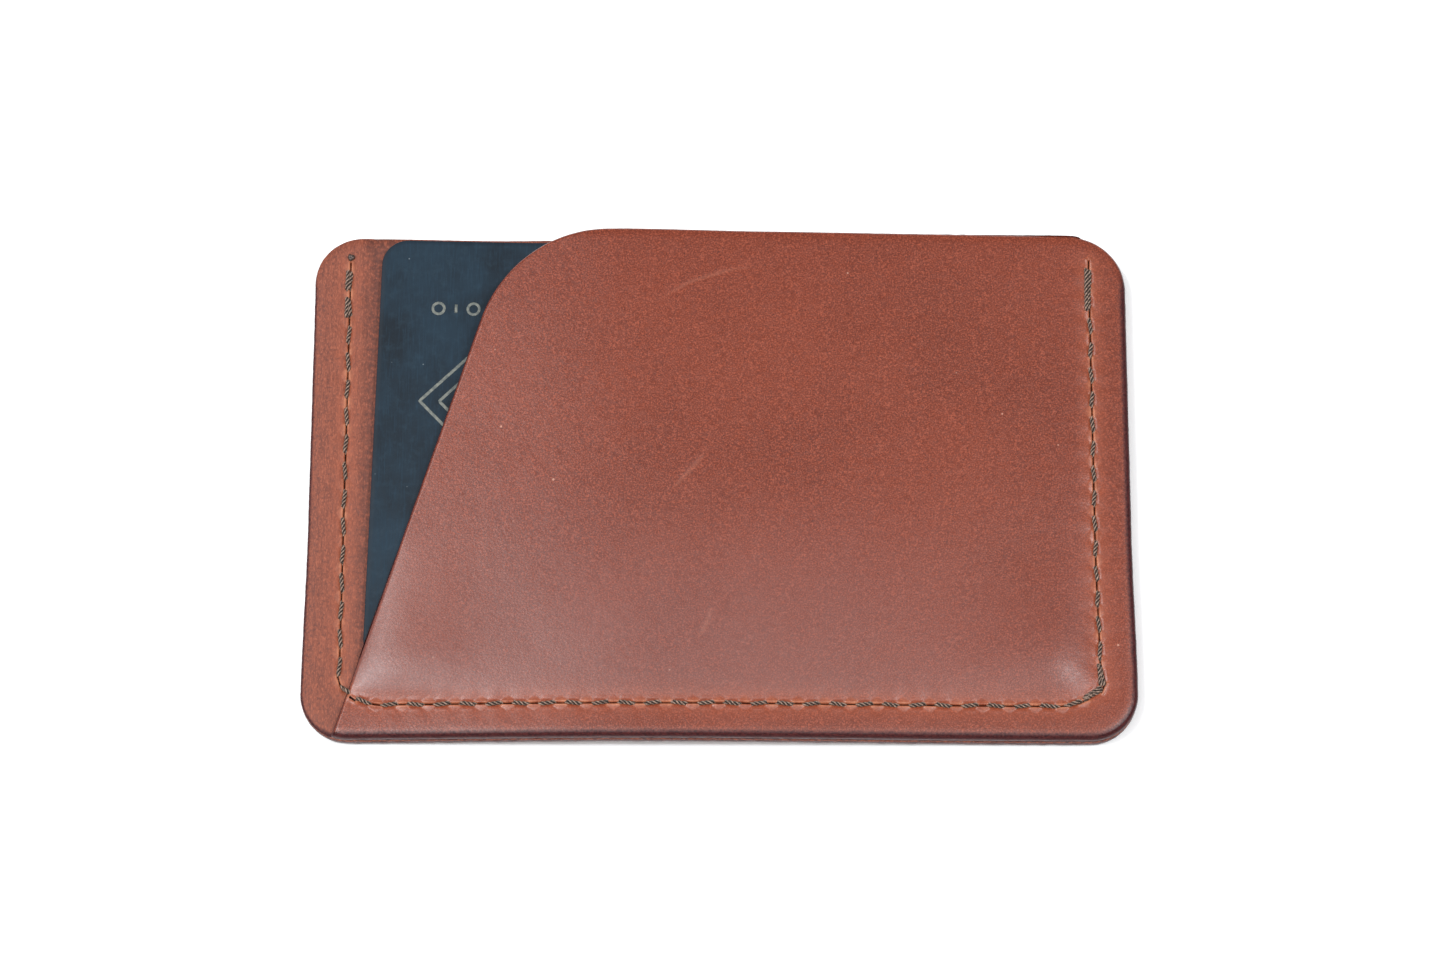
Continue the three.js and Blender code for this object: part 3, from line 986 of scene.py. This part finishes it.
class Nodes:
    """Short calls for building one material's node tree."""

    def __init__(self, name):
        self.material = bpy.data.materials.new(name)
        self.material.use_nodes = True
        self.tree = self.material.node_tree
        self.shader = self.tree.nodes["Principled BSDF"]
        self.place = self.new("TexCoord").outputs["Object"]
        self.place = self.stretched(1 / MM, 1 / MM, 1 / MM)

    def link(self, source, target):
        self.tree.links.new(source, target)

    def put(self, value, socket):
        if isinstance(value, bpy.types.NodeSocket):
            self.link(value, socket)
        else:
            socket.default_value = value

    # A new node, with a value or a link on each socket that is named.
    def new(self, kind, **sockets):
        node = self.tree.nodes.new("ShaderNode" + kind)
        for name, value in sockets.items():
            self.put(value, node.inputs[name.replace("_", " ")])
        return node

    def stretched(self, x, y, z):
        node = self.new("VectorMath")
        node.operation = "MULTIPLY"
        self.link(self.place, node.inputs[0])
        node.inputs[1].default_value = (x, y, z)
        return node.outputs[0]

    def noise(self, scale, detail=3.0, rough=0.55, vector=None):
        vector = vector or self.place
        return self.new("TexNoise", Vector=vector, Scale=scale, Detail=detail, Roughness=rough).outputs["Fac"]

    def cells(self, scale):
        return self.new("TexVoronoi", Vector=self.place, Scale=scale).outputs["Distance"]

    def attribute(self, name):
        node = self.new("Attribute")
        node.attribute_name = name
        return node.outputs["Fac"]

    def ranged(self, value, low, high, to_low=0.0, to_high=1.0, smooth=True):
        node = self.new("MapRange", Value=value, From_Min=low, From_Max=high, To_Min=to_low, To_Max=to_high)
        node.interpolation_type = "SMOOTHSTEP" if smooth else "LINEAR"
        return node.outputs["Result"]

    def math(self, operation, a, b):
        node = self.new("Math")
        node.operation = operation
        self.put(a, node.inputs[0])
        self.put(b, node.inputs[1])
        return node.outputs[0]

    def mix(self, factor, a, b):
        node = self.new("Mix")
        node.data_type = "RGBA"
        self.put(factor, node.inputs["Factor"])
        self.put(a, node.inputs[6])
        self.put(b, node.inputs[7])
        return node.outputs[2]

    # The colour with a tone laid over it where an attribute is high.
    def tint(self, colour, name, amount, tone):
        return self.mix(self.math("MULTIPLY", self.attribute(name), amount), colour, tone)

    def bump(self, height, strength, distance, below=None):
        node = self.new("Bump", Height=height, Strength=strength, Distance=distance * MM)
        if below is not None:
            self.link(below, node.inputs["Normal"])
        return node.outputs["Normal"]

    def finish(self, colour, roughness, normal):
        self.put(colour, self.shader.inputs["Base Color"])
        self.put(roughness, self.shader.inputs["Roughness"])
        self.link(normal, self.shader.inputs["Normal"])
        return self.material


def srgb(red, green, blue):
    def linear(value):
        value /= 255
        return value / 12.92 if value <= 0.04045 else ((value + 0.055) / 1.055) ** 2.4
    return linear(red), linear(green), linear(blue), 1.0


# Burnished edge: dark purple-brown with short fibres that show through.
def burnished(n, colour, fibres=0.45):
    fibre = n.noise(1.1, 4, 0.7, n.stretched(2.6, 2.6, 9.0))
    dark = n.mix(n.ranged(fibre, 0.35, 0.65), srgb(46, 19, 22), srgb(80, 35, 34))
    fleck = n.noise(1.0, 2, 0.5, n.stretched(2.2, 2.2, 5.5))
    edge = n.mix(n.ranged(fleck, 0.66 - 0.3 * fibres, 0.78 - 0.2 * fibres), dark, srgb(158, 80, 50))
    bare = n.ranged(n.attribute("rim"), 0.80, 1.0, 0.0, fibres)
    edge = n.mix(bare, dark, edge)
    ragged = n.math("ADD", n.attribute("rim"), n.ranged(n.noise(2.4, 3), 0.3, 0.7, -0.10, 0.10, False))
    n.put(n.ranged(ragged, 0.2, 0.9, 0.42, 0.12), n.shader.inputs["Specular IOR Level"])
    return n.mix(n.ranged(ragged, 0.16, 0.66), colour, edge)


def grain_bump(n, strength, distance):
    pores = n.cells(3.3)
    fine = n.noise(7.0, 4, 0.65)
    height = n.math("ADD", n.math("MULTIPLY", pores, 0.7), fine)
    broad = n.bump(n.noise(0.55, 3, 0.5), 0.25, 0.10)
    return n.bump(height, strength, distance, broad)


# Orange fibres bared round the slits, broken up a little.
def bared(n, colour):
    torn = n.ranged(n.noise(0.62, 4, 0.75), 0.38, 0.62, 0.04, 0.72, False)
    return n.tint(colour, "hole", torn, srgb(216, 144, 108))


def panel_leather():
    n = Nodes("panel_leather_look")
    tone = n.noise(0.055, 4, 0.55)
    colour = n.mix(n.ranged(tone, 0.30, 0.70), srgb(100, 39, 22), srgb(112, 46, 27))
    blotch = n.noise(5.4, 3, 0.6)
    colour = n.mix(n.ranged(blotch, 0.42, 0.72, 0.0, 0.75), colour, srgb(170, 85, 60))
    pit = n.noise(6.6, 2, 0.5)
    colour = n.mix(n.ranged(pit, 0.46, 0.24, 0.0, 0.85), colour, srgb(60, 22, 16))
    speck = n.cells(0.21)
    colour = n.mix(n.ranged(speck, 0.040, 0.020, 0.0, 0.6), colour, srgb(214, 160, 138))
    # Painted sheen: a paler, pinker colour towards the foot of the front, in patches.
    cloud = n.ranged(n.noise(0.09, 3, 0.5), 0.25, 0.75, 0.33, 0.50, False)
    colour = n.tint(colour, "foot_sheen_and_card_band", cloud, srgb(126, 86, 81))
    colour = n.mix(n.ranged(n.attribute("mark"), 0.15, 0.9, 0.0, 0.13), colour, srgb(196, 128, 104))
    colour = n.tint(colour, "border", 0.10, srgb(122, 60, 38))
    colour = n.tint(colour, "seam", 0.34, srgb(168, 88, 60))
    colour = burnished(n, bared(n, colour))
    rough = n.ranged(n.noise(1.4, 3), 0.3, 0.7, 0.30, 0.38, False)
    return n.finish(colour, rough, grain_bump(n, 0.20, 0.05))


def strip_leather():
    n = Nodes("strip_leather_look")
    streak = n.noise(0.9, 4, 0.6, n.stretched(3.0, 0.30, 1.0))
    colour = n.mix(n.ranged(streak, 0.30, 0.70), srgb(104, 47, 29), srgb(131, 64, 41))
    fibre = n.noise(1.0, 3, 0.6, n.stretched(7.0, 2.2, 1.0))
    colour = n.mix(n.ranged(fibre, 0.46, 0.70, 0.0, 0.52), colour, srgb(180, 104, 78))
    blotch = n.noise(3.0, 3, 0.65)
    colour = n.mix(n.ranged(blotch, 0.50, 0.30, 0.0, 0.70), colour, srgb(80, 36, 27))
    # Darker in a band along the card's left edge, in patches.
    card_band_patches = n.ranged(n.noise(2.0, 3, 0.6), 0.35, 0.60, 0.0, 0.65)
    colour = n.tint(colour, "foot_sheen_and_card_band", card_band_patches, srgb(70, 32, 24))
    colour = n.tint(colour, "seam", 0.22, srgb(178, 90, 54))
    colour = burnished(n, bared(n, colour), 0.9)
    rough = n.ranged(fibre, 0.3, 0.7, 0.52, 0.68, False)
    ridges = n.bump(streak, 0.25, 0.10)
    return n.finish(colour, rough, n.bump(blotch, 0.30, 0.07, ridges))


def thread_look():
    n = Nodes("thread_look")
    groove = n.attribute("outer")
    fibre = n.noise(6.0, 3, 0.6)
    colour = n.mix(n.ranged(fibre, 0.3, 0.7), srgb(84, 63, 53), srgb(172, 144, 126))
    # Painted shade: darker on the side of each ply that faces the others, between the plies.
    colour = n.mix(n.ranged(groove, 0.95, 0.60, 0.0, 0.90), colour, srgb(34, 23, 19))
    return n.finish(colour, n.ranged(fibre, 0.3, 0.7, 0.55, 0.75, False), n.bump(fibre, 0.4, 0.05))


def melted_look():
    n = Nodes("melted_thread_look")
    lumps = n.noise(4.0, 3, 0.6)
    colour = n.mix(n.ranged(lumps, 0.35, 0.65), srgb(44, 32, 28), srgb(82, 60, 50))
    return n.finish(colour, n.ranged(lumps, 0.3, 0.7, 0.3, 0.5, False), n.bump(lumps, 0.5, 0.08))


def card_plastic():
    n = Nodes("card_plastic_look")
    cloud = n.noise(0.12, 4, 0.6)
    colour = n.mix(n.ranged(cloud, 0.30, 0.70), srgb(5, 19, 30), srgb(18, 39, 53))
    haze = n.noise(0.9, 5, 0.7)
    colour = n.mix(n.ranged(haze, 0.45, 0.75, 0.0, 0.28), colour, srgb(38, 60, 74))
    brushed = n.noise(1.0, 4, 0.7, n.stretched(5.0, 0.35, 1.0))
    colour = n.mix(n.ranged(brushed, 0.45, 0.75, 0.0, 0.25), colour, srgb(42, 68, 86))
    speck = n.cells(0.40)
    colour = n.mix(n.ranged(speck, 0.055, 0.020, 0.0, 0.6), colour, srgb(120, 132, 138))
    colour = n.tint(colour, "rim", 0.5, srgb(24, 30, 38))
    rough = n.ranged(brushed, 0.3, 0.7, 0.46, 0.60, False)
    n.shader.inputs["Specular IOR Level"].default_value = 0.2
    return n.finish(colour, rough, n.bump(brushed, 0.12, 0.03))


def print_look():
    n = Nodes("card_print_look")
    print_fade_and_top_highlight = n.noise(2.2, 3, 0.6)
    colour = n.mix(n.ranged(print_fade_and_top_highlight, 0.3, 0.7), srgb(78, 84, 82), srgb(118, 119, 110))
    return n.finish(colour, n.ranged(print_fade_and_top_highlight, 0.3, 0.7, 0.45, 0.6, False), n.bump(print_fade_and_top_highlight, 0.1, 0.02))


def floor_look():
    n = Nodes("floor_look")
    grain = n.noise(0.02, 3, 0.5)
    colour = n.mix(n.ranged(grain, 0.3, 0.7), (0.96, 0.96, 0.96, 1), (0.98, 0.98, 0.98, 1))
    n.shader.inputs["Emission Color"].default_value = (1, 1, 1, 1)
    n.shader.inputs["Emission Strength"].default_value = 0.14
    return n.finish(colour, 0.9, n.bump(grain, 0.02, 0.05))


# ---- assembly

def dress(obj, material, body, slot, *nodes):
    obj.data.materials.append(material)
    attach(obj, body)
    if nodes:
        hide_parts(*nodes)


def build_holder():
    leather = panel_leather()
    strip = strip_leather()
    every = range(len(HOLES))
    back = leather_panel("back_panel_leather", holder_outline(), level(BACK_TOP - LAYER_GAP), back_bottom,
                         every, BACK_SPACING, BACK_EDGE, (False, True), seed=1)
    dress(back, leather, "holder", "panel_leather", "back_panel")
    centre = leather_panel("centre_panel_leather", holder_outline(), strip_top, level(BACK_TOP),
                           every, CENTRE_SPACING, CENTRE_EDGE, (True, False), seed=3)
    dress(centre, strip, "holder", "strip_leather", "centre_panel")
    on_front = [k for k, (x, y) in enumerate(HOLES) if x > cut_x(y)]
    front = leather_panel("front_panel_leather", front_outline(), front_top, front_bottom,
                          on_front, FRONT_SPACING, FRONT_EDGE, (True, False), seed=2)
    dress(front, leather, "holder", "panel_leather", "front_panel")
    thread = thread_look()
    dress(needle_thread(), thread, "holder", "thread", "needle_thread")
    dress(bobbin_thread(), thread, "holder", "thread", "bobbin_thread")
    dress(melted_end(), melted_look(), "holder", "thread")


def build_card():
    dress(card_body(), card_plastic(), "card", "card_plastic", "card")
    dress(card_print(), print_look(), "card", "card_plastic")


# ---- studio

def floor():
    bpy.ops.mesh.primitive_plane_add(size=6.0, location=(0, 0, 0))
    plane = bpy.context.object
    plane.name = "studio_floor"
    plane.data.materials.append(floor_look())


def area_light(name, place, width, height, power, colour=(1, 1, 1)):
    light = bpy.data.lights.new(name, "AREA")
    light.shape = "RECTANGLE"
    light.size = width
    light.size_y = height
    light.energy = power
    light.color = colour
    obj = bpy.data.objects.new(name, light)
    obj.location = place
    obj.rotation_euler = (-Vector(place)).to_track_quat("-Z", "Y").to_euler()
    bpy.context.collection.objects.link(obj)


def studio():
    scene = bpy.context.scene
    scene.view_settings.view_transform = "Standard"
    world = bpy.data.worlds.new("studio_world")
    world.use_nodes = True
    background = world.node_tree.nodes["Background"]
    background.inputs["Color"].default_value = (1, 1, 1, 1)
    background.inputs["Strength"].default_value = WORLD_STRENGTH
    scene.world = world
    area_light("key_left", (-0.45, 0.00, 1.00), 0.24, 0.28, 6.3, COOL_WHITE)
    area_light("edge_left", (-0.52, 0.36, 0.95), 0.16, 0.20, 2.4)
    area_light("key_right", (0.44, -0.03, 1.00), 0.20, 0.22, 4.5, COOL_WHITE)
    area_light("overhead", (-0.14, -0.22, 1.05), 0.45, 0.30, 2.0)
    area_light("front", (0.0, -0.85, 0.60), 0.80, 0.40, 0.4)


def camera():
    elevation = math.radians(CAMERA_ELEVATION)
    roll = math.radians(CAMERA_ROLL)
    back = Vector((0, -math.cos(elevation), math.sin(elevation)))
    right = Vector((1, 0, 0))
    up = back.cross(right)
    turned_right = math.cos(roll) * right + math.sin(roll) * up
    turned_up = math.cos(roll) * up - math.sin(roll) * right
    place = Vector(CAMERA_TARGET) + CAMERA_DISTANCE * back
    data = bpy.data.cameras.new("camera")
    data.sensor_width = 36.0
    data.lens = CAMERA_LENS
    data.clip_start = 0.01
    data.clip_end = 20
    obj = bpy.data.objects.new("camera", data)
    axes = Matrix((turned_right, turned_up, back)).transposed().to_4x4()
    obj.matrix_world = Matrix.Translation(place) @ axes
    bpy.context.collection.objects.link(obj)
    bpy.context.scene.camera = obj


camera()
studio()
floor()
build_holder()
build_card()
